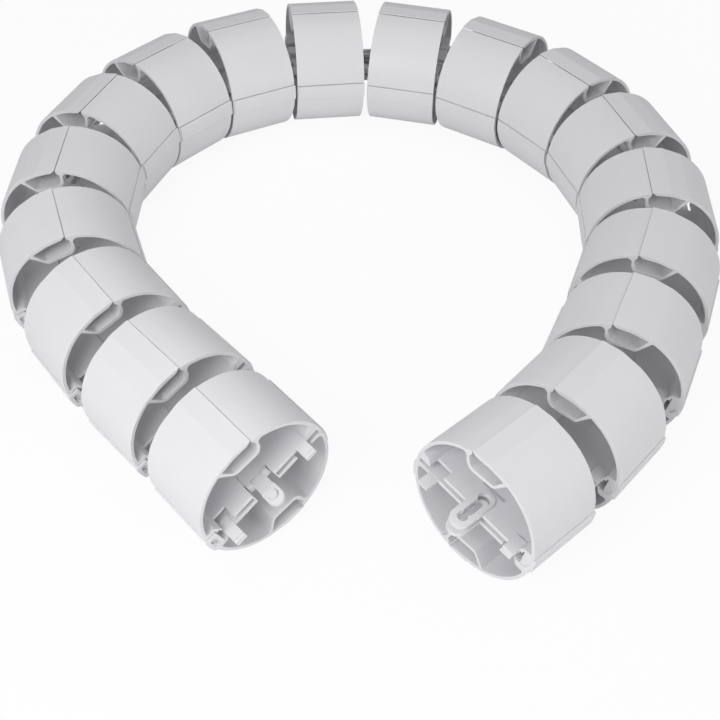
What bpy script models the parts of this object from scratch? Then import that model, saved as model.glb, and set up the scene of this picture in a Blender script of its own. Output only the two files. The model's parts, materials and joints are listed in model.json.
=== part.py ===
"""Cable spine: a chain of eighteen round links that carries cables from a desk to the floor.

Each link is two half shells of white plastic snapped together round a flat web. The web parts
two cable channels, and each half shell has a third, small pocket at its crown, closed by a
springy flap. A flat tongue at one end of every link carries a pin, and the pin sits in the
keyhole slot of the fork on the next link, so that each joint bends about the pin.

The spine lies in a ring on the floor, in metres, +Z up. In a link's own frame X runs along the
chain from the tongue to the fork, Y points out of the ring and Z stands square to the web.
The frame's origin is the centre of the link's own pin.
"""

import math

import bmesh
import bpy
from mathutils import Matrix, Vector

MM = 0.001
NAME = "cable_spine"

# The chain
LINKS = 18
LINK_LENGTH = 46.0 * MM
PIN_REACH = 7.0 * MM  # from the tongue end of the shells to the centre of the pin
SLOT_REACH = 9.0 * MM  # from the fork end of the shells to the outer hole of the slot
GAP = 0.35 * MM  # between pieces that seat on each other

# The round section
OUTER_RADIUS = 40.0 * MM
WALL = 2.0 * MM
OUTER_STEP = 18.0  # degrees between the points of the outer wall's curve
CHANNEL_STEP = 24.0  # and of the wall's inside

# The web between the two channels
WEB_GAP = 3.2 * MM
PLATE = 2.3 * MM
CORNER_RISE = 4.2 * MM  # how far the channel's corners rise above the web
CORNER_RUN = 5.0 * MM
CORNER_SLOPE = 1.6 * MM

# The pocket at the crown, and its flap
FLAP_ROOT = 14.4 * MM  # from the middle, towards the outside of the ring
FLAP_FOLD = 3.0 * MM
FLAP_NOSE = 8.6 * MM  # from the middle, towards the inside of the ring
FLAP_PROUD = 0.3 * MM  # how far the flap's fold stands proud of the round outline
FLAP = 2.2 * MM
SLIT = 1.6 * MM
RIM_AT = 12.4 * MM
BEAD_SINK = 2.2 * MM
BAND = 4.6 * MM  # the flat band beside the slit
POCKET_DEPTH = 11.6 * MM
POCKET_FLOOR = 7.2 * MM  # half the width of the pocket's floor
POCKET_WALL = 2.2 * MM
POCKET_CUT = 2.6 * MM

# The seams where the half shells meet, and the strips that cover them
STRIP_PROUD = 1.0 * MM
INNER_SEAM = -3.2 * MM
INNER_STRIP = 10.2 * MM
OUTER_SEAM = 6.0 * MM
OUTER_STRIP = 11.0 * MM
SEAM_BLOCK = 7.0 * MM  # the thick zone behind the outer strip, and the hollow through it
SEAM_HOLLOW = (2.7 * MM, 8.6 * MM)
INNER_STRIP_REACH = 0.8 * MM  # past the fork end
OUTER_STRIP_REACH = 2.2 * MM  # past the tongue end

# The tongue, its pin and the notch round it
TONGUE_WIDTH = 9.2 * MM
TONGUE_THICK = 2.4 * MM
TONGUE_TIP = 6.0 * MM  # past the centre of the pin
TONGUE_ROOT = 8.0 * MM  # how far the tongue runs on between the plates, past the notch
PIN_RADIUS = 2.4 * MM
PIN_HEIGHT = 5.8 * MM
PIN_SIDES = 8
NOTCH_WIDTH = 15.4 * MM
NOTCH_DEPTH = 6.5 * MM

# The fork and its slot
LUG_WIDTH = 11.4 * MM
LUG_TIP = 6.7 * MM  # past the centre of the slot's outer hole
LUG_THICK = 2.6 * MM
LUG_GAP = 4.4 * MM
SLOT_LENGTH = 16.0 * MM
SLOT_HOLE_RADIUS = 3.5 * MM
SLOT_WAIST = 4.2 * MM
HOLE_STEPS = 4

# The side tabs, which slide into the notches of the next link when the joint bends
TAB_AT = 27.1 * MM
TAB_WIDTH = 6.6 * MM
TAB_REACH = 8.9 * MM
TAB_REACH_SHORT = 4.8 * MM  # the upper tab on the outside of the fork end
TAB_ROOT = 6.5 * MM
TAB_HIGH = 4.9 * MM
TAB_NOTCH_IN = 21.3 * MM
TAB_NOTCH_OUT = 31.3 * MM
TAB_NOTCH_DEPTH = 8.0 * MM
TAB_NOTCH_DEPTH_FORK = 5.8 * MM

# The pose on the floor: the bend of each joint in degrees, and how far the links lean outwards
BEND_FULL = 19.9  # the most that a joint bends inwards
BENDS = [-1.3, 5.1, 18.1] + [BEND_FULL] * 10 + [17.4, 3.3, 17.0, 7.1]
LEANS = ((1, 29.7), (6, 20.2), (11, 6.9), (18, 11.4))  # link numbers, and their lean in degrees
START_HEADING = 122.2  # degrees from +X, of the first link

# The finish
FLAT_WITHIN = 0.5  # degrees: faces that meet flatter than this become one
PLASTIC = (0.80, 0.80, 0.82, 1.0)
PLASTIC_ROUGHNESS = 0.42

PITCH = PIN_REACH + LINK_LENGTH + SLOT_REACH
TONGUE_END = PIN_REACH
FORK_END = PIN_REACH + LINK_LENGTH
INNER_RADIUS = OUTER_RADIUS - WALL
PLATE_LOW = WEB_GAP / 2
PLATE_HIGH = PLATE_LOW + PLATE
BLOCK_EDGE = OUTER_RADIUS - SEAM_BLOCK
STRIP_RADIUS = OUTER_RADIUS + STRIP_PROUD
UP, DOWN = 1, -1


def on_circle(radius, z, side):
    """The point of a circle round the link's axis at height z, on the outer (+1) or inner (-1) side."""
    return (side * math.sqrt(radius * radius - z * z), z)


def arc(radius, start, end, step=OUTER_STEP):
    """Points of a round wall from the point start to the point end, both of them on it."""
    first = math.atan2(start[1], start[0])
    last = math.atan2(end[1], end[0])
    turn = (last - first + math.pi) % math.tau - math.pi
    steps = max(1, round(abs(math.degrees(turn)) / step))
    return [
        (radius * math.cos(first + turn * i / steps), radius * math.sin(first + turn * i / steps))
        for i in range(steps + 1)
    ]


def flipped(points, facing):
    """The points as they are, or mirrored through the web for a lower half shell."""
    return [(y, z * facing) for y, z in points]


def crown():
    """The outline over the crown from the flap's root to the flat band, with the pocket inside it."""
    root = on_circle(OUTER_RADIUS, math.sqrt(OUTER_RADIUS**2 - FLAP_ROOT**2), 1)
    fold = (FLAP_FOLD, math.sqrt(OUTER_RADIUS**2 - FLAP_FOLD**2) + FLAP_PROUD)
    nose = (-FLAP_NOSE, fold[1] - FLAP_PROUD)
    floor = OUTER_RADIUS - POCKET_DEPTH
    rim = (-RIM_AT, math.sqrt(OUTER_RADIUS**2 - RIM_AT**2))
    bead = (-FLAP_NOSE - SLIT, rim[1] - BEAD_SINK)
    wall_foot = (bead[0] + SLIT / 2, floor + POCKET_CUT / 2)
    points = [root, fold, nose, (-FLAP_NOSE + 1.2 * FLAP, nose[1] - FLAP), (FLAP_FOLD, fold[1] - 1.2 * FLAP)]
    points += [(FLAP_ROOT - FLAP, root[1] - 0.8 * FLAP)]
    points += [(POCKET_FLOOR, floor), (-POCKET_FLOOR, floor), wall_foot, bead, rim]
    return points


def pocket_outside():
    """The outline of the pocket seen from inside the channel, from the inner wall to the outer one."""
    floor = OUTER_RADIUS - POCKET_DEPTH - POCKET_WALL
    wall_y = -FLAP_NOSE - POCKET_WALL
    top_y = wall_y - POCKET_WALL
    top = (top_y, math.sqrt(INNER_RADIUS**2 - top_y**2))
    bend = (wall_y, top[1] - POCKET_WALL / 2)
    foot = (wall_y, floor + POCKET_CUT)
    root = (FLAP_ROOT, math.sqrt(INNER_RADIUS**2 - FLAP_ROOT**2))
    return [top, bend, foot, (wall_y + POCKET_CUT, floor), (POCKET_FLOOR, floor), root]


def channel():
    """The closed outline of one cable channel, above the web."""
    pocket = pocket_outside()
    corner_z = PLATE_HIGH + CORNER_RISE
    corner_in = on_circle(INNER_RADIUS, corner_z, -1)
    corner_out = on_circle(INNER_RADIUS, corner_z, 1)
    knee_in = (corner_in[0] + CORNER_RUN, corner_z - CORNER_SLOPE)
    knee_out = (BLOCK_EDGE - PLATE / 2, corner_z)
    floor_in = (knee_in[0] + CORNER_SLOPE, PLATE_HIGH)
    floor_out = (BLOCK_EDGE - PLATE, PLATE_HIGH)
    points = arc(INNER_RADIUS, corner_in, pocket[0], CHANNEL_STEP) + pocket[1:-1]
    points += arc(INNER_RADIUS, pocket[-1], corner_out, CHANNEL_STEP)
    return points + [knee_out, floor_out, floor_in, knee_in]


def upper_outline():
    """The outer outline of an upper half shell: wall, crown, lip over the inner seam, plate."""
    top = crown()
    seam_out = on_circle(OUTER_RADIUS, OUTER_SEAM, 1)
    seam_in = on_circle(OUTER_RADIUS, INNER_SEAM, -1)
    lip_in = on_circle(INNER_RADIUS, INNER_SEAM, -1)
    band_y = -RIM_AT - BAND
    band = (band_y, math.sqrt(OUTER_RADIUS**2 - band_y**2))
    plate_in = on_circle(INNER_RADIUS, PLATE_LOW, -1)
    points = arc(OUTER_RADIUS, seam_out, top[0])[:-1] + top
    points += arc(OUTER_RADIUS, band, seam_in)
    return points + [lip_in, plate_in, (BLOCK_EDGE - GAP, PLATE_LOW), (BLOCK_EDGE - GAP, OUTER_SEAM)]


def lower_outline():
    """The outer outline of a lower half shell, with the strips that stand proud over both seams."""
    top = flipped(crown(), DOWN)
    outer_top = OUTER_SEAM - GAP
    inner_top = INNER_SEAM - GAP
    strip_out = [on_circle(STRIP_RADIUS, outer_top - OUTER_STRIP, 1), on_circle(STRIP_RADIUS, outer_top, 1)]
    strip_in = [on_circle(STRIP_RADIUS, inner_top, -1), on_circle(STRIP_RADIUS, inner_top - INNER_STRIP, -1)]
    band_y = -RIM_AT - BAND
    band = (band_y, -math.sqrt(OUTER_RADIUS**2 - band_y**2))
    below_out = on_circle(OUTER_RADIUS, outer_top - OUTER_STRIP, 1)
    below_in = on_circle(OUTER_RADIUS, inner_top - INNER_STRIP, -1)
    lip = INNER_RADIUS - GAP
    points = [(BLOCK_EDGE, -PLATE_LOW), (BLOCK_EDGE, outer_top)]
    points += arc(STRIP_RADIUS, strip_out[1], strip_out[0])
    points += arc(OUTER_RADIUS, below_out, top[0])[:-1] + top
    points += arc(OUTER_RADIUS, band, below_in)
    points += arc(STRIP_RADIUS, strip_in[1], strip_in[0])
    return points + [on_circle(lip, inner_top, -1), on_circle(lip, -PLATE_LOW, -1)]


def seam_hollow():
    """The hollow along the thick zone behind the outer strip."""
    width, height = SEAM_HOLLOW
    out = INNER_RADIUS + GAP
    low, high = -height / 2 + GAP, height / 2 + GAP
    return [(out - width, low), (out, low), (out, high), (out - width, high)]


def tidied(points):
    """The outline without points that repeat the one before."""
    kept = []
    for point in points:
        if not kept or math.dist(kept[-1], point) > 0.02 * MM:
            kept.append(point)
    return kept


def prism(name, outlines, depth, turn):
    """A mesh object of flat outlines drawn out to depth on both sides of their plane, then turned."""
    curve = bpy.data.curves.new(name, "CURVE")
    curve.dimensions = "2D"
    curve.fill_mode = "BOTH"
    curve.extrude = depth / 2
    for outline in outlines:
        outline = tidied(outline)
        spline = curve.splines.new("POLY")
        spline.points.add(len(outline) - 1)
        for point, (u, v) in zip(spline.points, outline):
            point.co = (u, v, 0.0, 1.0)
        spline.use_cyclic_u = True
    drawn = bpy.data.objects.new(name, curve)
    bpy.context.scene.collection.objects.link(drawn)
    evaluated = drawn.evaluated_get(bpy.context.evaluated_depsgraph_get())
    mesh = bpy.data.meshes.new_from_object(evaluated)
    bpy.data.objects.remove(drawn)
    bpy.data.curves.remove(curve)
    mesh.transform(turn)
    return closed_object(name, mesh)


def closed_object(name, mesh):
    """A helper object of the mesh, with its loose caps welded and its faces turned outwards."""
    shape = bmesh.new()
    shape.from_mesh(mesh)
    bmesh.ops.remove_doubles(shape, verts=shape.verts, dist=0.001 * MM)
    bmesh.ops.recalc_face_normals(shape, faces=shape.faces)
    shape.to_mesh(mesh)
    shape.free()
    made = bpy.data.objects.new(name, mesh)
    bpy.context.scene.collection.objects.link(made)
    return made


# A section is drawn in (Y, Z) and runs along X. A plan is drawn in (X, Y) and runs along Z.
ALONG_CHAIN = Matrix(((0, 0, 1, 0), (1, 0, 0, 0), (0, 1, 0, 0), (0, 0, 0, 1)))


def section(name, outlines, start, end):
    """A prism along the chain from X = start to X = end."""
    turn = Matrix.Translation((0.5 * (start + end), 0, 0)) @ ALONG_CHAIN
    return prism(name, outlines, end - start, turn)


def plan(name, outline, low, high):
    """A prism across the web from Z = low to Z = high."""
    return prism(name, [outline], high - low, Matrix.Translation((0, 0, 0.5 * (low + high))))


def block(name, low, high):
    """A box between two corners."""
    mesh = bpy.data.meshes.new(name)
    shape = bmesh.new()
    bmesh.ops.create_cube(shape, size=1.0)
    size = Vector(high) - Vector(low)
    bmesh.ops.scale(shape, vec=size, verts=shape.verts)
    bmesh.ops.translate(shape, vec=Vector(low) + size / 2, verts=shape.verts)
    shape.to_mesh(mesh)
    shape.free()
    return closed_object(name, mesh)


def pin():
    """The pin, a short cylinder across the tongue."""
    mesh = bpy.data.meshes.new("pin")
    shape = bmesh.new()
    bmesh.ops.create_cone(
        shape, cap_ends=True, segments=PIN_SIDES, radius1=PIN_RADIUS, radius2=PIN_RADIUS, depth=PIN_HEIGHT
    )
    shape.to_mesh(mesh)
    shape.free()
    return closed_object("pin", mesh)


def half_round(centre_x, radius, facing, steps=3):
    """Points of a half circle in plan that bulges towards +X (facing 1) or -X (facing -1)."""
    points = []
    for i in range(steps + 1):
        angle = math.radians(-90 + 180 * i / steps)
        points.append((centre_x + facing * radius * math.cos(angle), facing * radius * math.sin(angle)))
    return points


def combine(base, tool, operation):
    """Joins the tool to the base or cuts it away, and removes the tool."""
    change = base.modifiers.new(tool.name, "BOOLEAN")
    change.operation = operation
    change.object = tool
    change.solver = "EXACT"
    evaluated = base.evaluated_get(bpy.context.evaluated_depsgraph_get())
    mesh = bpy.data.meshes.new_from_object(evaluated)
    base.modifiers.remove(change)
    base.data = mesh
    bpy.data.objects.remove(tool)


def lug(facing):
    """One lug of the fork: a round-ended plate round the slot, raised from the web."""
    half = LUG_WIDTH / 2
    inner = PITCH - SLOT_LENGTH
    outline = half_round(PITCH + LUG_TIP - half, half, 1) + half_round(inner, half, -1)
    low, high = LUG_GAP / 2, LUG_GAP / 2 + LUG_THICK
    return plan("lug", outline, *sorted((facing * low, facing * high)))


def slot(facing):
    """The keyhole slot through one lug and the plate behind it: two round holes and a narrow waist."""
    opening = math.asin(SLOT_WAIST / 2 / SLOT_HOLE_RADIUS)
    outline = []
    for centre, middle in ((PITCH, 0.0), (PITCH - SLOT_LENGTH, math.pi)):
        for i in range(HOLE_STEPS + 1):
            angle = middle + (math.pi - opening) * (2 * i / HOLE_STEPS - 1)
            y = SLOT_HOLE_RADIUS * math.sin(angle)
            outline.append((centre + SLOT_HOLE_RADIUS * math.cos(angle), y))
    high = facing * (LUG_GAP / 2 + 2 * LUG_THICK)
    return plan("slot", outline, *sorted((0.0, high)))


def tongue():
    """The flat tongue of the lower half shell, with the pin through its round end."""
    half = TONGUE_WIDTH / 2
    root = TONGUE_END + NOTCH_DEPTH + TONGUE_ROOT
    round_centre = half - TONGUE_TIP
    outline = [(root, -half), (root, half)] + half_round(round_centre, half, -1)
    arm = plan("tongue", outline, -TONGUE_THICK / 2, TONGUE_THICK / 2)
    seat = TONGUE_END + NOTCH_DEPTH
    foot = block("foot", (seat - PLATE, -half, -PLATE_HIGH + PLATE / 2), (root, half, 0.0))
    combine(arm, foot, "UNION")
    combine(arm, pin(), "UNION")
    return arm


def tab(end, side, facing):
    """A side tab at the tongue end (-1) or the fork end (+1), on the outer (+1) or inner (-1) side."""
    edge = FORK_END if end > 0 else TONGUE_END
    reach = TAB_REACH_SHORT if (end, side) == (1, 1) else TAB_REACH
    xs = sorted((edge - end * TAB_ROOT, edge + end * reach))
    ys = sorted((side * (TAB_AT - TAB_WIDTH / 2), side * (TAB_AT + TAB_WIDTH / 2)))
    zs = sorted((facing * PLATE_LOW, facing * TAB_HIGH))
    return block("tab", (xs[0], ys[0], zs[0]), (xs[1], ys[1], zs[1]))


def tab_notch(end, side, facing):
    """The cutter of the notch that takes the next link's tab."""
    edge = FORK_END if end > 0 else TONGUE_END
    depth = TAB_NOTCH_DEPTH_FORK if end > 0 else TAB_NOTCH_DEPTH
    xs = sorted((edge - end * depth, edge + end * TAB_REACH))
    ys = sorted((side * TAB_NOTCH_IN, side * TAB_NOTCH_OUT))
    zs = sorted((facing * PLATE_LOW / 2, facing * (PLATE_HIGH + PLATE)))
    return block("tab_notch", (xs[0], ys[0], zs[0]), (xs[1], ys[1], zs[1]))


def centre_notch(facing):
    """The cutter of the notch in the web round the tongue."""
    half = NOTCH_WIDTH / 2
    zs = sorted((facing * PLATE_LOW / 2, facing * (PLATE_HIGH + PLATE)))
    return block(
        "centre_notch", (TONGUE_END - TAB_REACH, -half, zs[0]), (TONGUE_END + NOTCH_DEPTH, half, zs[1])
    )


def half_shell(outlines, facing):
    """One half shell with its notches, tabs and lug. Upper tabs sit where lower notches are."""
    shell = section("half_shell", outlines + [flipped(channel(), facing)], TONGUE_END, FORK_END)
    combine(shell, centre_notch(facing), "DIFFERENCE")
    for end in (-1, 1):
        side = end * facing
        combine(shell, tab_notch(end, -side, facing), "DIFFERENCE")
        combine(shell, tab(end, side, facing), "UNION")
    combine(shell, lug(facing), "UNION")
    combine(shell, slot(facing), "DIFFERENCE")
    return shell


def strip_end(radius_in, top, height, side, start, end):
    """A short length of seam strip that runs on past the end of the shells."""
    outer = [on_circle(STRIP_RADIUS, top - height, side), on_circle(STRIP_RADIUS, top, side)]
    inner = [on_circle(radius_in, top, side), on_circle(radius_in, top - height, side)]
    outline = arc(STRIP_RADIUS, outer[0], outer[1]) + inner
    return section("strip_end", [outline], *sorted((start, end)))


def lower_shell():
    """The lower half shell, which also carries the tongue and the seam strips."""
    shell = half_shell([lower_outline(), seam_hollow()], DOWN)
    combine(shell, tongue(), "UNION")
    overlap = 2 * MM
    inner = strip_end(
        INNER_RADIUS, INNER_SEAM - GAP, INNER_STRIP, -1, FORK_END - overlap, FORK_END + INNER_STRIP_REACH
    )
    outer = strip_end(
        INNER_RADIUS, OUTER_SEAM - GAP, OUTER_STRIP, 1, TONGUE_END + overlap, TONGUE_END - OUTER_STRIP_REACH
    )
    combine(shell, inner, "UNION")
    combine(shell, outer, "UNION")
    return shell


def plastic():
    """Light grey moulded plastic, half matt."""
    material = bpy.data.materials.new("light_grey_plastic")
    material.use_nodes = True
    surface = material.node_tree.nodes["Principled BSDF"]
    surface.inputs["Base Color"].default_value = PLASTIC
    surface.inputs["Roughness"].default_value = PLASTIC_ROUGHNESS
    surface.inputs["Metallic"].default_value = 0.0
    return material


def finished_mesh(kind, shell, material):
    """The helper's mesh with smooth round walls and the plastic on it. The helper is removed."""
    mesh = shell.data
    shape = bmesh.new()
    shape.from_mesh(mesh)
    bmesh.ops.remove_doubles(shape, verts=shape.verts, dist=0.001 * MM)
    bmesh.ops.dissolve_limit(shape, angle_limit=math.radians(FLAT_WITHIN), verts=shape.verts, edges=shape.edges)
    shape.to_mesh(mesh)
    shape.free()
    mesh.materials.clear()
    mesh.materials.append(material)
    mesh.shade_smooth()
    mesh.set_sharp_from_angle(angle=math.radians(30))
    mesh.name = kind
    bpy.data.objects.remove(shell)
    return mesh


def lean(link):
    """How far link number 1 to LINKS leans out of the ring, in radians, between the given links."""
    for (first, start), (last, end) in zip(LEANS, LEANS[1:]):
        if link <= last:
            return math.radians(start + (end - start) * (link - first) / (last - first))


def link_frames():
    """The matrix of each link at rest, its origin on the link's own pin, before centring."""
    frames = []
    place = Vector((0.0, 0.0, OUTER_RADIUS))
    heading = math.radians(START_HEADING)
    for link in range(1, LINKS + 1):
        turn = Matrix.Rotation(heading, 4, "Z") @ Matrix.Rotation(-lean(link), 4, "X")
        frames.append(Matrix.Translation(place) @ turn)
        place = place + PITCH * Vector((math.cos(heading), math.sin(heading), 0.0))
        if link < LINKS:
            heading -= math.radians(BENDS[link - 1])
    return frames


def centred(frames, meshes):
    """The frames moved so that the ring's box stands on Z = 0 with its middle at the origin."""
    corners = [frame @ vertex.co for frame in frames for mesh in meshes for vertex in mesh.vertices]
    low = Vector(min(corner[axis] for corner in corners) for axis in range(3))
    high = Vector(max(corner[axis] for corner in corners) for axis in range(3))
    shift = Matrix.Translation((-(low.x + high.x) / 2, -(low.y + high.y) / 2, -low.z))
    return [shift @ frame for frame in frames]


def clear_scene():
    for obj in list(bpy.data.objects):
        bpy.data.objects.remove(obj)


def main():
    clear_scene()
    material = plastic()
    shells = {
        "upper_shell": finished_mesh("upper_shell", half_shell([upper_outline()], UP), material),
        "lower_shell": finished_mesh("lower_shell", lower_shell(), material),
    }
    spine = bpy.data.collections.new(NAME)
    bpy.context.scene.collection.children.link(spine)
    before = None
    for number, frame in enumerate(centred(link_frames(), shells.values()), start=1):
        segment = bpy.data.objects.new(f"segment_{number:02d}", None)
        segment.empty_display_size = PIN_RADIUS * 2
        spine.objects.link(segment)
        if before:
            segment.parent = before[0]
            segment.matrix_local = before[1].inverted() @ frame
        else:
            segment.matrix_local = frame
        for kind, mesh in shells.items():
            shell = bpy.data.objects.new(f"{kind}_{number:02d}", mesh)
            shell.parent = segment
            spine.objects.link(shell)
        before = (segment, frame)


main()
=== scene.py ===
"""The look of the cable spine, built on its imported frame.

Every link of the frame gets two finely moulded half shells in place of its plain ones. They are
modelled once, in the link's own frame, and set in place on each link.

In a link's own frame X runs along the chain from the tongue to the fork, Y points out of the ring
and Z stands square to the web. Its origin is the centre of the link's own pin.
"""

import json
import math

import bmesh
import bpy
from mathutils import Matrix, Vector


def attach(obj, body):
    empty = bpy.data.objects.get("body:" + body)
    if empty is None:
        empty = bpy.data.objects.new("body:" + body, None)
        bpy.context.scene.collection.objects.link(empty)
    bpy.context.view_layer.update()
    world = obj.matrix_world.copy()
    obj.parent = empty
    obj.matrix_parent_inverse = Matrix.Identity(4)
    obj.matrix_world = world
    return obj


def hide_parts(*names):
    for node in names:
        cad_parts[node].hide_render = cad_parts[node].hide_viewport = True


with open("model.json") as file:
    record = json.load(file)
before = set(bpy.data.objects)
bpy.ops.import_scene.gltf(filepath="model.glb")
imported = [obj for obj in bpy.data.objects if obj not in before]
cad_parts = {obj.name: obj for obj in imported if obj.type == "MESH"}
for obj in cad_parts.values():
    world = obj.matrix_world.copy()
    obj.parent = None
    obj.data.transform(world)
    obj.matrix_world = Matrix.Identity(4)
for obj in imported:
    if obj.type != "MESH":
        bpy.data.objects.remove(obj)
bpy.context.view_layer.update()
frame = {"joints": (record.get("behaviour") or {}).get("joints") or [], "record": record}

MM = 0.001
UP, DOWN = 1, -1
CLEARANCE = 0.3 * MM

# The shells and their round section
TONGUE_END = 7.0 * MM
FORK_END = 53.0 * MM
OUTER_RADIUS = 40.0 * MM
INNER_RADIUS = 38.0 * MM
STRIP_RADIUS = 41.0 * MM
STRIP_INSIDE = 38.6 * MM

# The web between the two channels
PLATE_LOW = 1.6 * MM
PLATE_HIGH = 3.9 * MM
PLATE_MIDDLE = 0.5 * (PLATE_LOW + PLATE_HIGH)
PLATE_EDGE = 31.0 * MM
PLATE_ROOT = 31.4 * MM
PLATE_FOOT = 29.8 * MM
WALL_MEETS_PLATE = 32.0 * MM
LEDGE = 4.1 * MM
SINK = 0.1 * MM
STRIP_SUNK = 1.9 * MM
STRIP_HALF = 7.4 * MM
STRIP_FAR_END = 39.0 * MM
PLATE_SHY = 0.06 * MM
PLATE_INSIDE = 38.4 * MM
CORNER_TOP = 8.1 * MM

# The crown, its flap and the pocket under it, all turned a little towards the inside of the ring
CROWN_TURN = 5.5
FLAP_ROOT = 14.4 * MM
FLAP_FOLD = 3.0 * MM
FLAP_NOSE = 8.6 * MM
FLAP = 2.3 * MM
FLAP_PROUD = 0.3 * MM
NOSE_THICK = 0.6 * MM
NOSE_RUN = 2.8 * MM
POCKET_WALL = 2.6 * MM
POCKET_SHOULDER = 2.2 * MM
HAIRLINE = 0.1 * MM
LIP_SUNK = 0.8 * MM
RIM_AT = 12.4 * MM
BAND_AT = 17.0 * MM
FLOOR_IN = 28.4 * MM
FLOOR_OUT = 26.1 * MM
FLOOR_HALF = 7.2 * MM

# The seams
INNER_SEAM = -3.2 * MM
OUTER_SEAM = 5.95 * MM
LOWER_INNER_SEAM = 3.55 * MM
LOWER_OUTER_SEAM = 1.0 * MM
BLOCK_EDGE = 33.0 * MM
SEAM_ROUND = 0.4 * MM

# The tongue, its pin and the notch round it
NOTCH_HALF = 7.7 * MM
NOTCH_DEPTH = 8.0 * MM
NOTCH_BACK = TONGUE_END + NOTCH_DEPTH
NOTCH_ROUND = 0.5 * MM
CENTRE_ROUND = 0.8 * MM
ARM_HALF = 4.1 * MM
HEAD_HALF = 4.6 * MM
PIN_RADIUS = 2.5 * MM
PIN_TOP = 2.9 * MM
HEAD_TIP = 6.0 * MM
HEAD_BACK = 5.0 * MM
HEAD_THICK = 1.05 * MM
ARM_THICK = 0.8 * MM
RIB_THICK = 1.2 * MM
RING_FLOOR = 0.75 * MM
RING_TOP = 2.4 * MM
RING_WIDTH = 0.4 * MM

# The fork and its keyhole slot
PITCH = 62.0 * MM
LUG_HALF = 5.7 * MM
LUG_TIP = 6.7 * MM
LUG_LOW = 2.2 * MM
LUG_HIGH = 4.8 * MM
SLOT_LENGTH = 16.0 * MM
NEAR_HOLE = 2.9 * MM
FAR_HOLE = 3.5 * MM
SLOT_HALF = 2.4 * MM
WAIST_HALF = 1.8 * MM
SLOT_FROM = 0.5 * MM
SLOT_TO = 8 * MM

# The side tabs and the notches that take them
TAB_IN = 23.8 * MM
TAB_OUT = 30.4 * MM
TAB_HIGH = 4.9 * MM
TAB_REACH = 7.4 * MM
TAB_REACH_SHORT = 4.8 * MM
TAB_ROOT = 6.5 * MM
TAB_LIP = 1.5 * MM
TAB_RIDGE = 1.0 * MM
TAB_GROOVE = 0.4 * MM
TAB_FIT = 0.15 * MM
TAB_ROUND = 0.3 * MM
TAB_LIP_HIGH = 1.4 * MM
LOWER_TAB_TOP = 0.8 * MM
TAB_NOTCH_IN = 21.3 * MM
TAB_NOTCH_OUT = 31.3 * MM
TAB_NOTCH_DEPTH = 8.0 * MM
TAB_NOTCH_DEPTH_FORK = 5.8 * MM

# Moulded edges
EDGE = 0.22 * MM
ROUND_STEPS = 3

# The studio: each lamp's name, place, size and power, all in metres and watts
ROOM_LIGHT = 0.40
FLOOR_WHITENESS = 0.92
FLOOR_SIZE = 6.0
LAMPS = [
    ("front_left_box", (-0.45, -0.60, 0.55), (0.5, 0.4), 3.2),
    ("front_right_box", (0.75, -1.00, 0.50), (0.7, 0.5), 2.8),
    ("overhead_box", (0.0, 0.1, 1.6), (1.3, 1.0), 3.6),
]
LAMPS_AIM = Vector((0.0, 0.0, 0.03))

# The photograph's camera: its place, and where it looks
CAMERA_AT = Vector((-100.50, -638.76, 564.37)) * MM
CAMERA_AHEAD = Vector((0.10969, 0.71200, -0.69356))
CAMERA_UP = Vector((0.06978, 0.69053, 0.71993))
CAMERA_LENS = 68.88

# Colours and the plastic's finish
WHITE = (1.0, 1.0, 1.0, 1.0)
FLOOR_GREY = (0.92, 0.92, 0.92, 1.0)
SHADE_GREY = (0.775, 0.775, 0.80, 1.0)
LIGHT_GREY = (0.825, 0.825, 0.845, 1.0)
SPECK_GREY = (0.42, 0.42, 0.42, 1.0)
SPECK_SHARE = 0.35
SPECK_SIZE = 0.022
GRAIN_DEPTH = 0.06 * MM


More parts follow.
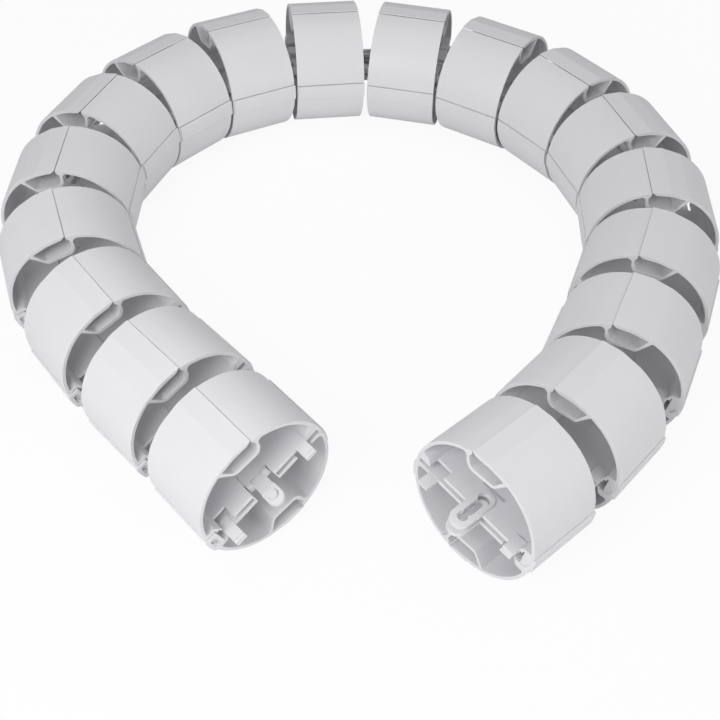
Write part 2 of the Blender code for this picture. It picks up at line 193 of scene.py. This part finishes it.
class Pen:
    """Draws a flat closed outline corner by corner, and then rounds its corners."""

    def __init__(self, flip=UP):
        self.flip = flip
        self.turn = 0.0
        self.shape = bmesh.new()
        self.rounding = self.shape.verts.layers.float.new("rounding")
        self.first = self.last = None

    def spot(self, u, v):
        """The point, turned about the link's axis by the pen's turn and then flipped."""
        turned = Matrix.Rotation(math.radians(self.turn), 2) @ Vector((u, v))
        return Vector((turned.x, turned.y * self.flip, 0.0))

    def to(self, u, v, rounding=0.0):
        """A straight run to the point, whose corner is rounded by that much."""
        point = self.shape.verts.new(self.spot(u, v))
        point[self.rounding] = rounding
        if self.last:
            self.shape.edges.new((self.last, point))
        else:
            self.first = point
        self.last = point
        return self

    def swing(self, angle, centre=(0.0, 0.0), rounding=0.0, step=4.0):
        """A round run about the centre, by an angle in degrees, anticlockwise before the flip."""
        known = set(self.shape.verts)
        made = bmesh.ops.spin(
            self.shape, geom=[self.last], cent=(centre[0], centre[1] * self.flip, 0.0),
            axis=(0, 0, 1), angle=math.radians(angle) * self.flip,
            steps=max(1, round(abs(angle) / step)), use_merge=False, use_duplicate=False,
        )
        for point in set(self.shape.verts) - known:
            point[self.rounding] = 0.0
        self.last = made["geom_last"][0]
        self.last[self.rounding] = rounding
        return self

    def round_to(self, u, v, rounding=0.0, step=4.0):
        """A round run about the link's axis to the point."""
        here, there = self.last.co, self.spot(u, v)
        bend = math.atan2(there.y, there.x) - math.atan2(here.y, here.x)
        bend = (bend + math.pi) % math.tau - math.pi
        self.swing(math.degrees(bend) * self.flip, rounding=rounding, step=step)
        self.last.co = there
        return self

    def solid(self, low, high):
        """The outline drawn out from low to high across its plane, with soft edges."""
        shape = self.shape
        shape.edges.new((self.last, self.first))
        bmesh.ops.remove_doubles(shape, verts=shape.verts, dist=0.005 * MM)
        bmesh.ops.contextual_create(shape, geom=list(shape.edges))
        for radius in sorted({round(v[self.rounding], 7) for v in shape.verts} - {0.0}):
            corners = [v for v in shape.verts if abs(v[self.rounding] - radius) < 1e-7]
            made = bmesh.ops.bevel(
                shape, geom=corners, offset=radius, offset_type="OFFSET", segments=ROUND_STEPS,
                profile=0.5, affect="VERTICES", material=-1, clamp_overlap=True,
            )
            for point in made["verts"]:
                point[self.rounding] = 0.0
        drawn = bmesh.ops.extrude_face_region(shape, geom=list(shape.faces))
        raised = [g for g in drawn["geom"] if isinstance(g, bmesh.types.BMVert)]
        bmesh.ops.translate(shape, vec=(0, 0, high - low), verts=raised)
        bmesh.ops.translate(shape, vec=(0, 0, low), verts=shape.verts)
        bmesh.ops.recalc_face_normals(shape, faces=shape.faces)
        return shape


# A section is drawn in (Y, Z) and runs along X. A plan is drawn in (X, Y) and runs along Z.
# A profile is drawn in (X, Z) and runs along Y.
SECTION = Matrix(((0, 0, 1, 0), (1, 0, 0, 0), (0, 1, 0, 0), (0, 0, 0, 1)))
PLAN = Matrix.Identity(4)
PROFILE = Matrix(((1, 0, 0, 0), (0, 0, 1, 0), (0, 1, 0, 0), (0, 0, 0, 1)))


def soften(shape, width=EDGE):
    """Rounds the sharp edges a little, as a mould leaves them."""
    sharp = [e for e in shape.edges if e.is_manifold and e.calc_face_angle() > math.radians(38)]
    bmesh.ops.bevel(
        shape, geom=sharp, offset=width, offset_type="OFFSET", segments=2, profile=0.5,
        affect="EDGES", material=-1, clamp_overlap=False,
    )


def placed(pen, low, high, plane, soft=True):
    """A helper object of the pen's outline, drawn out from low to high in its plane."""
    low, high = min(low, high), max(low, high)
    shape = pen.solid(low, high)
    shape.transform(plane)
    bmesh.ops.recalc_face_normals(shape, faces=shape.faces)
    if soft:
        soften(shape)
    mesh = bpy.data.meshes.new("helper")
    shape.to_mesh(mesh)
    shape.free()
    helper = bpy.data.objects.new("helper", mesh)
    bpy.context.scene.collection.objects.link(helper)
    return helper


def block(xs, ys, zs, rounding=0.0, soft=True):
    """A helper block between two corners, its upright edges rounded."""
    pen = Pen().to(xs[0], ys[0], rounding).to(xs[1], ys[0], rounding)
    pen.to(xs[1], ys[1], rounding).to(xs[0], ys[1], rounding)
    return placed(pen, zs[0], zs[1], PLAN, soft)


def combine(base, tool, operation):
    """Joins the tool to the base or cuts it away, and removes the tool."""
    change = base.modifiers.new("change", "BOOLEAN")
    change.operation = operation
    change.object = tool
    change.solver = "EXACT"
    evaluated = base.evaluated_get(bpy.context.evaluated_depsgraph_get())
    mesh = bpy.data.meshes.new_from_object(evaluated)
    base.modifiers.remove(change)
    base.data = mesh
    bpy.data.objects.remove(tool)
    return base


def on_circle(radius, y):
    """The height of a circle round the link's axis at y."""
    return math.sqrt(radius * radius - y * y)


def crown(pen):
    """The outside of the crown: the flap, its underside, the pocket, the rim's lip and the band."""
    root = on_circle(OUTER_RADIUS, FLAP_ROOT)
    fold = on_circle(OUTER_RADIUS, FLAP_FOLD) + FLAP_PROUD
    nose = fold - FLAP_PROUD
    rim = on_circle(OUTER_RADIUS, RIM_AT)
    lip = FLAP_NOSE + HAIRLINE
    pen.turn = CROWN_TURN * pen.flip
    pen.round_to(FLAP_ROOT, root, 0.6 * MM)
    pen.to(FLAP_FOLD, fold, 0.8 * MM)
    pen.to(-FLAP_NOSE, nose)
    pen.to(-FLAP_NOSE, nose - NOSE_THICK)
    pen.to(-FLAP_NOSE + NOSE_RUN, nose - FLAP, 0.6 * MM)
    pen.to(FLAP_FOLD, fold - 1.1 * FLAP, 2.5 * MM)
    pen.to(FLAP_ROOT - FLAP, root - 0.7 * FLAP, 0.5 * MM)
    pen.to(FLOOR_HALF, FLOOR_IN, 1.2 * MM)
    pen.to(-FLOOR_HALF, FLOOR_IN, 1.6 * MM)
    pen.to(-FLAP_NOSE - 1.0 * MM, FLOOR_IN + 4.0 * MM, 1.0 * MM)
    pen.to(-FLAP_NOSE - 1.4 * MM, rim - 2.6 * MM, 0.6 * MM)
    pen.to(-lip, rim - 1.3 * MM, 0.4 * MM)
    pen.to(-lip, nose - LIP_SUNK)
    pen.to(-RIM_AT, rim, 1.0 * MM)
    pen.to(-BAND_AT, on_circle(OUTER_RADIUS, BAND_AT), 0.5 * MM)
    pen.turn = 0.0


def channel_roof(pen):
    """The inside of the shell from the inner corner, under the pocket, to the outer corner."""
    wall_y = FLAP_NOSE + POCKET_WALL
    top_y = wall_y + POCKET_SHOULDER
    pen.turn = CROWN_TURN * pen.flip
    pen.round_to(-top_y, on_circle(INNER_RADIUS, top_y), 0.8 * MM)
    pen.to(-wall_y, on_circle(INNER_RADIUS, top_y) - 1.9 * MM, 0.8 * MM)
    pen.to(-wall_y, FLOOR_OUT + 4.4 * MM, 1.6 * MM)
    pen.to(-wall_y + 2.9 * MM, FLOOR_OUT, 1.6 * MM)
    pen.to(FLOOR_HALF, FLOOR_OUT, 1.4 * MM)
    pen.to(FLAP_ROOT, on_circle(INNER_RADIUS, FLAP_ROOT), 0.7 * MM)
    pen.turn = 0.0
    pen.round_to(on_circle(INNER_RADIUS, CORNER_TOP), CORNER_TOP, 1.4 * MM)


def upper_wall():
    """The upper half's round wall, with its crown and both seam corners."""
    pen = Pen().to(on_circle(OUTER_RADIUS, OUTER_SEAM), OUTER_SEAM, SEAM_ROUND)
    crown(pen)
    pen.round_to(-on_circle(OUTER_RADIUS, INNER_SEAM), INNER_SEAM, SEAM_ROUND)
    pen.to(-on_circle(INNER_RADIUS, INNER_SEAM), INNER_SEAM, SEAM_ROUND)
    pen.round_to(-on_circle(INNER_RADIUS, PLATE_LOW), PLATE_LOW + SINK)
    pen.to(-WALL_MEETS_PLATE, PLATE_LOW + SINK)
    pen.to(-WALL_MEETS_PLATE, PLATE_MIDDLE)
    pen.to(-PLATE_ROOT, PLATE_HIGH - SINK)
    pen.to(-33.0 * MM, 6.3 * MM, 0.8 * MM)
    pen.to(-on_circle(INNER_RADIUS, 7.6 * MM), 7.6 * MM, 1.0 * MM)
    channel_roof(pen)
    pen.to(WALL_MEETS_PLATE, CORNER_TOP, 1.0 * MM)
    pen.to(PLATE_FOOT, PLATE_HIGH - SINK)
    pen.to(PLATE_FOOT, PLATE_MIDDLE)
    pen.to(PLATE_EDGE - SINK, PLATE_MIDDLE)
    pen.to(PLATE_EDGE - SINK, LEDGE)
    pen.to(BLOCK_EDGE - CLEARANCE, LEDGE)
    pen.to(BLOCK_EDGE - CLEARANCE, OUTER_SEAM)
    return placed(pen, TONGUE_END, FORK_END, SECTION)


def lower_wall():
    """The lower half's round wall. It ends under the outer strip's thick block."""
    pen = Pen(DOWN).to(on_circle(OUTER_RADIUS, LOWER_OUTER_SEAM), LOWER_OUTER_SEAM, SEAM_ROUND)
    crown(pen)
    pen.round_to(-on_circle(OUTER_RADIUS, LOWER_INNER_SEAM), LOWER_INNER_SEAM, SEAM_ROUND)
    pen.to(-on_circle(INNER_RADIUS, LOWER_INNER_SEAM) + 0.3 * MM, LOWER_INNER_SEAM, SEAM_ROUND)
    pen.to(-37.2 * MM, PLATE_LOW + SINK)
    pen.to(-WALL_MEETS_PLATE, PLATE_LOW + SINK)
    pen.to(-WALL_MEETS_PLATE, PLATE_MIDDLE)
    pen.to(-PLATE_ROOT, PLATE_HIGH - SINK)
    pen.to(-35.8 * MM, PLATE_HIGH + SINK, 0.6 * MM)
    pen.to(-on_circle(INNER_RADIUS, 5.4 * MM), 5.4 * MM, 0.8 * MM)
    channel_roof(pen)
    pen.to(WALL_MEETS_PLATE, CORNER_TOP, 1.0 * MM)
    pen.to(PLATE_FOOT, PLATE_HIGH - SINK)
    pen.to(PLATE_FOOT, PLATE_MIDDLE)
    pen.to(PLATE_EDGE - SINK, PLATE_MIDDLE)
    pen.to(PLATE_EDGE - SINK, LEDGE)
    pen.to(36.0 * MM, 4.4 * MM, 0.6 * MM)
    pen.to(on_circle(INNER_RADIUS, LOWER_OUTER_SEAM), LOWER_OUTER_SEAM, SEAM_ROUND)
    return placed(pen, TONGUE_END, FORK_END, SECTION)


def outer_strip():
    """The strip over the outer seam: a bar with a shallow hollow in its tongue end."""
    top, low = 5.6 * MM, -5.4 * MM
    pen = Pen().to(BLOCK_EDGE + 0.3 * MM, -6.0 * MM, 0.5 * MM).to(37.5 * MM, -6.6 * MM)
    pen.to(39.2 * MM, low - 0.3 * MM).to(on_circle(STRIP_RADIUS, low), low, 0.7 * MM)
    pen.round_to(on_circle(STRIP_RADIUS, top), top, 0.7 * MM)
    pen.to(BLOCK_EDGE + 0.3 * MM, top, 0.6 * MM)
    bar = placed(pen, TONGUE_END - 0.7 * MM, FORK_END - 0.8 * MM, SECTION)
    hollow = Pen().to(35.4 * MM, -3.4 * MM, 1.2 * MM).to(38.7 * MM, -3.4 * MM, 1.2 * MM)
    hollow.to(38.7 * MM, 3.4 * MM, 1.2 * MM).to(35.4 * MM, 3.4 * MM, 1.2 * MM)
    cutter = placed(hollow, TONGUE_END - 4 * MM, TONGUE_END + 1.6 * MM, SECTION, soft=False)
    return combine(bar, cutter, "DIFFERENCE")


def inner_strip():
    """The strip over the inner seam, which runs a little past the fork end."""
    top, low = -LOWER_INNER_SEAM, -13.7 * MM
    pen = Pen().to(-on_circle(STRIP_INSIDE, low), low + 0.3 * MM)
    pen.round_to(-on_circle(STRIP_INSIDE, top), top - 0.3 * MM)
    pen.to(-on_circle(STRIP_RADIUS, top), top, 0.5 * MM)
    pen.round_to(-on_circle(STRIP_RADIUS, low), low, 0.5 * MM)
    return placed(pen, TONGUE_END + 0.9 * MM, FORK_END + 0.2 * MM, SECTION)


def web_plate(facing):
    """One plate of the web, with its notches and the sunk strip behind the tongue."""
    near, far = TONGUE_END + PLATE_SHY, FORK_END - PLATE_SHY
    side = -PLATE_INSIDE
    pen = Pen().to(near, side)
    if facing == DOWN:
        pen.to(near, -TAB_NOTCH_OUT).to(near + TAB_NOTCH_DEPTH, -TAB_NOTCH_OUT, NOTCH_ROUND)
        pen.to(near + TAB_NOTCH_DEPTH, -TAB_NOTCH_IN, NOTCH_ROUND).to(near, -TAB_NOTCH_IN)
    pen.to(near, -NOTCH_HALF).to(NOTCH_BACK, -NOTCH_HALF, CENTRE_ROUND)
    pen.to(NOTCH_BACK, NOTCH_HALF, CENTRE_ROUND)
    pen.to(near, NOTCH_HALF)
    if facing == UP:
        pen.to(near, TAB_NOTCH_IN).to(near + TAB_NOTCH_DEPTH, TAB_NOTCH_IN, NOTCH_ROUND)
        pen.to(near + TAB_NOTCH_DEPTH, PLATE_EDGE)
        pen.to(far, PLATE_EDGE)
        pen.to(far, -TAB_NOTCH_IN).to(far - TAB_NOTCH_DEPTH_FORK, -TAB_NOTCH_IN, NOTCH_ROUND)
        pen.to(far - TAB_NOTCH_DEPTH_FORK, -TAB_NOTCH_OUT, NOTCH_ROUND).to(far, -TAB_NOTCH_OUT)
    else:
        pen.to(near, PLATE_EDGE)
        pen.to(far - TAB_NOTCH_DEPTH_FORK, PLATE_EDGE)
        pen.to(far - TAB_NOTCH_DEPTH_FORK, TAB_NOTCH_IN, NOTCH_ROUND).to(far, TAB_NOTCH_IN)
    pen.to(far, side)
    plate = placed(pen, facing * PLATE_LOW, facing * PLATE_HIGH, PLAN)
    sunk = sorted((facing * (PLATE_HIGH - STRIP_SUNK), facing * (PLATE_HIGH + STRIP_SUNK)))
    cutter = block((NOTCH_BACK - 3 * MM, STRIP_FAR_END), (-STRIP_HALF, STRIP_HALF), sunk, soft=False)
    return combine(plate, cutter, "DIFFERENCE")


def lug(facing):
    """One lug of the fork: a raised, round-ended plate round the slot."""
    tip, heel = PITCH + LUG_TIP - LUG_HALF, PITCH - SLOT_LENGTH
    pen = Pen().to(heel, -LUG_HALF).to(tip, -LUG_HALF).swing(180, (tip, 0), step=12)
    pen.to(heel, LUG_HALF).swing(180, (heel, 0), step=12)
    return placed(pen, facing * LUG_LOW, facing * LUG_HIGH, PLAN)


def slot(facing):
    """The keyhole slot's cutter: two round holes, a channel, and a nib beside each hole."""
    far = PITCH - SLOT_LENGTH
    near_turn = math.degrees(math.asin(WAIST_HALF / NEAR_HOLE))
    far_turn = math.degrees(math.asin(WAIST_HALF / FAR_HOLE))
    near_x = PITCH - math.sqrt(NEAR_HOLE**2 - WAIST_HALF**2)
    far_x = far + math.sqrt(FAR_HOLE**2 - WAIST_HALF**2)
    nib = 0.7 * MM
    pen = Pen().to(near_x, -WAIST_HALF).swing(360 - 2 * near_turn, (PITCH, 0), step=12)
    pen.to(near_x - nib, WAIST_HALF, 0.2 * MM).to(near_x - 2 * nib, SLOT_HALF, 0.3 * MM)
    pen.to(far_x + 2 * nib, SLOT_HALF, 0.3 * MM).to(far_x + nib, WAIST_HALF, 0.2 * MM)
    pen.to(far_x, WAIST_HALF).swing(360 - 2 * far_turn, (far, 0), step=12)
    pen.to(far_x + nib, -WAIST_HALF, 0.2 * MM).to(far_x + 2 * nib, -SLOT_HALF, 0.3 * MM)
    pen.to(near_x - 2 * nib, -SLOT_HALF, 0.3 * MM).to(near_x - nib, -WAIST_HALF, 0.2 * MM)
    return placed(pen, facing * SLOT_FROM, facing * SLOT_TO, PLAN, soft=False)


def tab(end, side, facing):
    """A side tab. At the fork end (+1) its tip has a low lip, at the tongue end (-1) a groove."""
    edge = FORK_END if end > 0 else TONGUE_END
    reach = TAB_REACH_SHORT if (end, side) == (1, 1) else TAB_REACH
    tip = edge + end * (reach + TAB_LIP)
    shoulder = tip - TAB_LIP if end > 0 else tip + TAB_RIDGE
    root = edge - end * TAB_ROOT
    low, mid = PLATE_LOW + TAB_FIT, PLATE_LOW + TAB_LIP_HIGH
    if (end, facing) == (-1, DOWN):
        low = LOWER_TAB_TOP
    pen = Pen(facing).to(root, low)
    if end > 0:
        pen.to(tip, low).to(tip, mid, TAB_ROUND).to(shoulder, mid)
        pen.to(shoulder, TAB_HIGH, TAB_ROUND).to(root + 0.8 * MM, TAB_HIGH, TAB_ROUND)
    else:
        pen.to(shoulder + TAB_GROOVE, low).to(shoulder + TAB_GROOVE, low + TAB_GROOVE)
        pen.to(shoulder, low + TAB_GROOVE).to(shoulder, low).to(tip, low, TAB_ROUND)
        pen.to(tip, TAB_HIGH, TAB_ROUND).to(shoulder, TAB_HIGH).to(shoulder, TAB_HIGH - TAB_GROOVE)
        pen.to(shoulder + TAB_GROOVE, TAB_HIGH - TAB_GROOVE)
        pen.to(shoulder + TAB_GROOVE, TAB_HIGH).to(edge - TAB_GROOVE, TAB_HIGH)
    pen.to(root, PLATE_HIGH - SINK)
    return placed(pen, side * TAB_IN, side * TAB_OUT, PROFILE, soft=end > 0)


def tongue():
    """The flat tongue: a slim arm between two studs, a rib, a thicker round head and the pin."""
    arm = block((2.0 * MM, NOTCH_BACK + 7 * MM), (-ARM_HALF, ARM_HALF), (-ARM_THICK, ARM_THICK))
    centre = HEAD_HALF - HEAD_TIP
    pen = Pen().to(HEAD_BACK, HEAD_HALF, 0.4 * MM).to(centre, HEAD_HALF)
    pen.swing(180, (centre, 0), step=10).to(HEAD_BACK, -HEAD_HALF, 0.4 * MM)
    combine(arm, placed(pen, -HEAD_THICK, HEAD_THICK, PLAN), "UNION")
    ys = (0.15 * MM - HEAD_HALF, HEAD_HALF - 0.15 * MM)
    combine(arm, block((4.3 * MM, 5.3 * MM), ys, (-RIB_THICK, RIB_THICK)), "UNION")
    pen = Pen().to(PIN_RADIUS + RING_WIDTH, 0).swing(350, step=10)
    combine(arm, placed(pen, RING_FLOOR, RING_TOP, PLAN, soft=False), "DIFFERENCE")
    pen = Pen().to(PIN_RADIUS, 0).swing(350, step=10)
    combine(arm, placed(pen, -PIN_TOP, PIN_TOP, PLAN), "UNION")
    return arm


def stud(side):
    """A square stud beside the tongue's arm, at the back of the notch."""
    ys = sorted((side * (ARM_HALF - 0.3 * MM), side * (NOTCH_HALF - 0.6 * MM)))
    post = block((NOTCH_BACK - 2.3 * MM, NOTCH_BACK - 0.2 * MM), ys, (-3.0 * MM, 2.4 * MM))
    xs = (NOTCH_BACK - 0.9 * MM, NOTCH_BACK + 4 * MM)
    ys = sorted((side * (ARM_HALF - 0.5 * MM), side * (NOTCH_HALF - 0.8 * MM)))
    combine(post, block(xs, ys, (-2.8 * MM, 0.6 * MM)), "UNION")
    return post


def notch_wall(side):
    """The short wall that closes the gap between the plates beside the centre notch."""
    ys = sorted((side * NOTCH_HALF, side * (NOTCH_HALF + 0.8 * MM)))
    return block((TONGUE_END + 0.1 * MM, TONGUE_END + 20 * MM), ys, (-2.0 * MM, PLATE_LOW - CLEARANCE))


def upper_shell():
    """The upper half shell as one closed mesh."""
    shell = upper_wall()
    combine(shell, web_plate(UP), "UNION")
    combine(shell, lug(UP), "UNION")
    combine(shell, slot(UP), "DIFFERENCE")
    for end in (-1, 1):
        combine(shell, tab(end, end, UP), "UNION")
    return shell


def lower_shell():
    """The lower half shell, with the seam strips and the tongue."""
    shell = lower_wall()
    combine(shell, web_plate(DOWN), "UNION")
    combine(shell, lug(DOWN), "UNION")
    combine(shell, slot(DOWN), "DIFFERENCE")
    for end in (-1, 1):
        combine(shell, tab(end, -end, DOWN), "UNION")
    combine(shell, outer_strip(), "UNION")
    combine(shell, inner_strip(), "UNION")
    for side in (-1, 1):
        combine(shell, notch_wall(side), "UNION")
    xs = (NOTCH_BACK - 0.4 * MM, NOTCH_BACK + 8 * MM)
    foot = block(xs, (-3.9 * MM, 3.9 * MM), (-3.1 * MM, 0.5 * MM))
    combine(shell, foot, "UNION")
    for side in (-1, 1):
        combine(shell, stud(side), "UNION")
    combine(shell, tongue(), "UNION")
    return shell


def finished(helper, name):
    """The helper's mesh, welded and smoothly shaded with its flat faces kept flat."""
    shape = bmesh.new()
    shape.from_mesh(helper.data)
    bmesh.ops.remove_doubles(shape, verts=shape.verts, dist=0.004 * MM)
    bmesh.ops.dissolve_degenerate(shape, dist=0.002 * MM, edges=shape.edges)
    shape.to_mesh(helper.data)
    shape.free()
    helper.data.shade_smooth()
    helper.data.set_sharp_from_angle(angle=math.radians(32))
    weigh = helper.modifiers.new("weigh", "WEIGHTED_NORMAL")
    weigh.keep_sharp = True
    weigh.weight = 80
    evaluated = helper.evaluated_get(bpy.context.evaluated_depsgraph_get())
    mesh = bpy.data.meshes.new_from_object(evaluated)
    mesh.name = name
    mesh.materials.clear()
    bpy.data.objects.remove(helper)
    return mesh


def link_frames():
    """The place of every link at rest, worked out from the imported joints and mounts."""
    joints = frame["joints"]
    mounts = {mount["name"]: mount for mount in frame["record"]["mounts"]}
    across = [Vector(mounts["tongue_pin"]["axis"]).normalized()]
    for joint in joints:
        axis = Vector(joint["axis"]).normalized()
        across.append((2 * axis.dot(across[-1]) * axis - across[-1]).normalized())
    first_pin = Vector(mounts["tongue_pin"]["pos_m"]) - PIN_TOP * across[0]
    last_hole = Vector(mounts["fork_face"]["pos_m"]) - LUG_HIGH * across[-1]
    pins = [first_pin] + [Vector(joint["pos_m"]) for joint in joints] + [last_hole]
    places = []
    for pin, following, z in zip(pins, pins[1:], across):
        x = following - pin
        x = (x - x.dot(z) * z).normalized()
        y = z.cross(x)
        turn = Matrix((x, y, z)).transposed().to_4x4()
        places.append(Matrix.Translation(pin) @ turn)
    return places


class Socket:
    """A shader value that takes part in Python expressions, each of which adds its own nodes."""

    def __init__(self, paint, link):
        self.paint = paint
        self.link = link

    def _with(self, operation, first, second):
        return self.paint.node("ShaderNodeMath", {"operation": operation}, {0: first, 1: second})

    def __add__(self, other):
        return self._with("ADD", self, other)

    def __mul__(self, other):
        return self._with("MULTIPLY", self, other)

    def __lt__(self, other):
        return self._with("LESS_THAN", self, other)

    __radd__ = __add__
    __rmul__ = __mul__


class Paint:
    """The node tree of a material or world, whose nodes are made by one method."""

    def __init__(self, owner):
        self.owner = owner
        owner.use_nodes = True
        self.tree = owner.node_tree
        self.tree.nodes.clear()

    def node(self, kind, settings=None, sockets=None, output=0):
        """A node of that type with its settings, and with values or links on its sockets."""
        made = self.tree.nodes.new(kind)
        for name, value in (settings or {}).items():
            setattr(made, name, value)
        for name, value in (sockets or {}).items():
            if isinstance(value, Socket):
                self.tree.links.new(value.link, made.inputs[name])
            else:
                made.inputs[name].default_value = value
        return Socket(self, made.outputs[output]) if made.outputs else None

    def mix(self, share, first, second):
        """One colour going over into another. Sockets 0, 6 and 7 are the share and the colours."""
        sockets = {0: share, 6: first, 7: second}
        return self.node("ShaderNodeMix", {"data_type": "RGBA"}, sockets, output=2)

    def blend(self, share, first, second):
        """One surface going over into another."""
        return self.node("ShaderNodeMixShader", {}, {0: share, 1: first, 2: second})


def grey_plastic():
    """Pale grey moulded plastic: half matt, finely grained, faintly cloudy, with a few specks."""
    paint = Paint(bpy.data.materials.new("grey_plastic"))
    place = paint.node("ShaderNodeTexCoord", output="Object")
    cloud = paint.node("ShaderNodeTexNoise", {}, {"Vector": place, "Scale": 28.0, "Detail": 3.0})
    grain = paint.node("ShaderNodeTexNoise", {}, {"Vector": place, "Scale": 2600.0, "Detail": 2.0})
    flow = paint.node("ShaderNodeTexNoise", {}, {"Vector": place, "Scale": 240.0, "Detail": 2.0})
    speck = paint.node("ShaderNodeTexVoronoi", {}, {"Vector": place, "Scale": 75.0})
    plain = paint.mix(cloud, SHADE_GREY, LIGHT_GREY)
    height = 0.8 * grain + 0.2 * flow
    bump = paint.node(
        "ShaderNodeBump", {}, {"Strength": 0.10, "Distance": GRAIN_DEPTH, "Height": height}
    )
    surface = paint.node("ShaderNodeBsdfPrincipled", {}, {
        "Base Color": paint.mix(SPECK_SHARE * (speck < SPECK_SIZE), plain, SPECK_GREY),
        "Roughness": 0.36 + 0.10 * grain + 0.06 * flow,
        "Normal": bump,
        "Metallic": 0.0,
        "IOR": 1.46,
    })
    paint.node("ShaderNodeOutputMaterial", {}, {"Surface": surface})
    return paint.owner


def floor_material():
    """A pale studio floor that stays near white to the camera and keeps a soft shadow."""
    paint = Paint(bpy.data.materials.new("studio_floor"))
    matt = paint.node("ShaderNodeBsdfDiffuse", {}, {"Color": FLOOR_GREY})
    white = paint.node("ShaderNodeEmission", {}, {"Color": WHITE, "Strength": 1.0})
    seen = paint.node("ShaderNodeLightPath", output="Is Camera Ray")
    surface = paint.blend(FLOOR_WHITENESS * seen, matt, white)
    paint.node("ShaderNodeOutputMaterial", {}, {"Surface": surface})
    return paint.owner


def white_room():
    """The surroundings: pure white to the camera, and a weaker light on the part."""
    paint = Paint(bpy.data.worlds.new("white_room"))
    camera_ray = paint.node("ShaderNodeLightPath", output="Is Camera Ray")
    passing_ray = paint.node("ShaderNodeLightPath", output="Is Transmission Ray")
    either = paint.node("ShaderNodeMath", {"operation": "MAXIMUM"}, {0: camera_ray, 1: passing_ray})
    room = paint.node("ShaderNodeBackground", {}, {"Color": WHITE, "Strength": ROOM_LIGHT})
    seen = paint.node("ShaderNodeBackground", {}, {"Color": WHITE, "Strength": 1.0})
    paint.node("ShaderNodeOutputWorld", {}, {"Surface": paint.blend(either, room, seen)})
    return paint.owner


def studio():
    """The floor, the soft lamps and the white surroundings."""
    shape = bmesh.new()
    bmesh.ops.create_grid(shape, x_segments=1, y_segments=1, size=FLOOR_SIZE)
    mesh = bpy.data.meshes.new("studio_floor")
    shape.to_mesh(mesh)
    shape.free()
    mesh.materials.append(floor_material())
    floor = bpy.data.objects.new("studio_floor", mesh)
    bpy.context.scene.collection.objects.link(floor)

    bpy.context.scene.world = white_room()

    for name, place, size, power in LAMPS:
        lamp = bpy.data.lights.new(name, "AREA")
        lamp.shape = "RECTANGLE"
        lamp.size, lamp.size_y = size
        lamp.energy = power
        holder = bpy.data.objects.new(name, lamp)
        aim = LAMPS_AIM - Vector(place)
        turn = aim.to_track_quat("-Z", "Y").to_matrix().to_4x4()
        holder.matrix_world = Matrix.Translation(place) @ turn
        holder.visible_camera = False
        bpy.context.scene.collection.objects.link(holder)


def camera():
    """The photograph's view."""
    seen = bpy.data.cameras.new("camera")
    seen.lens = CAMERA_LENS
    seen.sensor_width = 36.0
    seen.clip_start = 0.05
    holder = bpy.data.objects.new("camera", seen)
    back = -CAMERA_AHEAD.normalized()
    up = (CAMERA_UP - CAMERA_UP.dot(back) * back).normalized()
    right = up.cross(back)
    turn = Matrix((right, up, back)).transposed().to_4x4()
    holder.matrix_world = Matrix.Translation(CAMERA_AT) @ turn
    bpy.context.scene.collection.objects.link(holder)
    bpy.context.scene.camera = holder


def dress_links():
    """Two fine half shells on every link, in place of its plain ones."""
    plastic = grey_plastic()
    moulds = {
        "upper_shell": finished(upper_shell(), "upper_shell"),
        "lower_shell": finished(lower_shell(), "lower_shell"),
    }
    for number, place in enumerate(link_frames(), start=1):
        for kind, mould in moulds.items():
            mesh = mould.copy()
            mesh.transform(place)
            mesh.materials.append(plastic)
            piece = bpy.data.objects.new(f"fine_{kind}_{number:02d}", mesh)
            bpy.context.scene.collection.objects.link(piece)
            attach(piece, f"segment_{number:02d}")
            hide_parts(f"{kind}_{number:02d}")
    for mould in moulds.values():
        bpy.data.meshes.remove(mould)


camera()
studio()
dress_links()
bpy.context.scene.view_settings.view_transform = "Standard"
